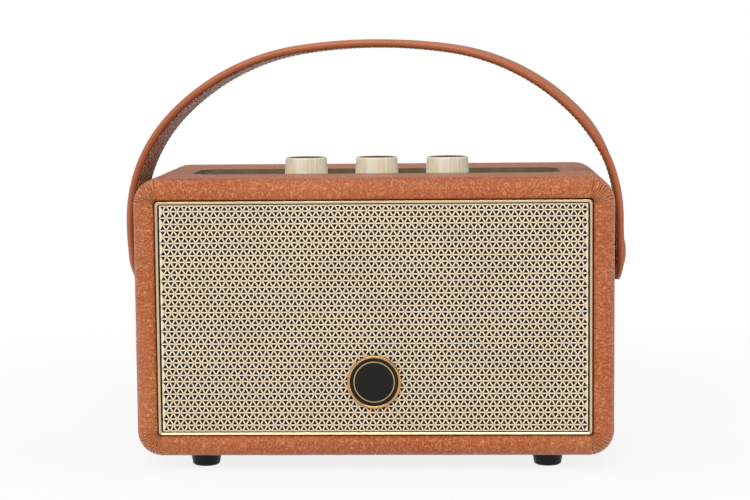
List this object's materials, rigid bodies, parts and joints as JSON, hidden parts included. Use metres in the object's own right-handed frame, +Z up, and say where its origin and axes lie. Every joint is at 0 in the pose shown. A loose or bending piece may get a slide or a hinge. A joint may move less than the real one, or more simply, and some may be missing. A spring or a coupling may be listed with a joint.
{
  "type": "leather portable radio",
  "caption": "Leather-covered portable radio: wooden box with punched metal grille, knobs in a top recess, rubber feet and a swinging strap handle.",
  "frame": {"origin": "midway between the feet, on the surface they stand on", "axes": "+X to the right of someone facing the grille, +Y from the grille to the rear panel, +Z up"},
  "size_m": [0.2722, 0.143, 0.2254],
  "materials": {
    "carcass": "plain board",
    "leather": "grained semi-gloss",
    "strap_leather": "smooth edge, grained face",
    "lining_leather": "grained matt",
    "champagne": "satin anodised",
    "tray_metal": "brushed anodised",
    "mesh_paint": "satin",
    "cloth": "woven",
    "badge_gold": "polished",
    "badge_black": "gloss",
    "knob_gold": "turned and lined",
    "steel": "plated",
    "brass": "satin",
    "black_screw": "black oxide",
    "black_plastic": "fine texture",
    "button_plastic": "satin",
    "lens": "clear",
    "board": "solder mask",
    "paper_cone": "pressed pulp",
    "silk": "coated",
    "surround_rubber": "matt",
    "foot_rubber": "satin",
    "ferrite": "sintered",
    "basket_steel": "black paint",
    "cell_sleeve": "shrink sleeve",
    "mdf": "board"
  },
  "bodies": {
    "cabinet": {"top_board": "carcass", "bottom_board": "carcass", "left_board": "carcass", "right_board": "carcass", "leather_wrap": "leather", "foot_front_left": "foot_rubber", "foot_front_right": "foot_rubber", "foot_back_left": "foot_rubber", "foot_back_right": "foot_rubber", "foot_screws": "steel", "grille_frame": "champagne", "grille_mesh": "mesh_paint", "grille_cloth": "cloth", "badge_rim": "badge_gold", "badge_plate": "badge_black", "front_baffle": "mdf", "woofer_basket": "basket_steel", "woofer_surround": "surround_rubber", "woofer_spider": "silk", "woofer_magnet": "ferrite", "woofer_yoke": "steel", "left_tweeter": "black_plastic", "left_tweeter_dome": "silk", "right_tweeter": "black_plastic", "right_tweeter_dome": "silk", "driver_screws": "black_screw", "control_tray": "tray_metal", "volume_pot": "steel", "bass_pot": "steel", "treble_pot": "steel", "pot_nuts": "steel", "button_switches": "black_plastic", "aux_jack": "black_plastic", "status_lens": "lens", "control_board": "board", "amplifier_board": "board", "board_standoffs": "brass", "battery_pack": "cell_sleeve", "battery_bracket": "steel", "bracket_screws": "steel", "rear_panel": "black_plastic", "rear_screws": "black_screw", "bass_port": "black_plastic", "dc_socket": "black_plastic", "strap_spacers": "brass", "strap_screws": "brass", "side_inserts": "brass"},
    "strap_handle": {"strap_outer": "strap_leather", "strap_lining": "lining_leather"},
    "volume_control": {"volume_knob": "knob_gold", "volume_shaft": "steel"},
    "bass_control": {"bass_knob": "knob_gold", "bass_shaft": "steel"},
    "treble_control": {"treble_knob": "knob_gold", "treble_shaft": "steel"},
    "source_key": {"source_button": "button_plastic"},
    "power_key": {"power_button": "button_plastic"},
    "woofer_moving": {"woofer_cone": "paper_cone", "woofer_dust_cap": "paper_cone", "woofer_voice_coil": "brass"}
  },
  "joints": [
    {"name": "strap_swing", "type": "hinge", "parent": "cabinet", "child": "strap_handle", "pos_m": [0, 0, 0.1085], "axis": [1, 0, 0], "range_deg": [-25, 25]},
    {"name": "volume_turn", "type": "hinge", "parent": "cabinet", "child": "volume_control", "pos_m": [-0.0385, -0.0075, 0.146], "axis": [0, 0, -1], "range_deg": [-150, 150]},
    {"name": "bass_turn", "type": "hinge", "parent": "cabinet", "child": "bass_control", "pos_m": [0, -0.0075, 0.146], "axis": [0, 0, -1], "range_deg": [-150, 150]},
    {"name": "treble_turn", "type": "hinge", "parent": "cabinet", "child": "treble_control", "pos_m": [0.0385, -0.0075, 0.146], "axis": [0, 0, -1], "range_deg": [-150, 150]},
    {"name": "source_press", "type": "slide", "parent": "cabinet", "child": "source_key", "axis": [0, 0, -1], "range_m": [0, 0.0012], "stiffness_N_per_m": 900, "springref_m": -0.0008},
    {"name": "power_press", "type": "slide", "parent": "cabinet", "child": "power_key", "axis": [0, 0, -1], "range_m": [0, 0.0012], "stiffness_N_per_m": 900, "springref_m": -0.0008},
    {"name": "cone_travel", "type": "slide", "parent": "cabinet", "child": "woofer_moving", "axis": [0, -1, 0], "range_m": [-0.002, 0.002], "stiffness_N_per_m": 1600}
  ]
}
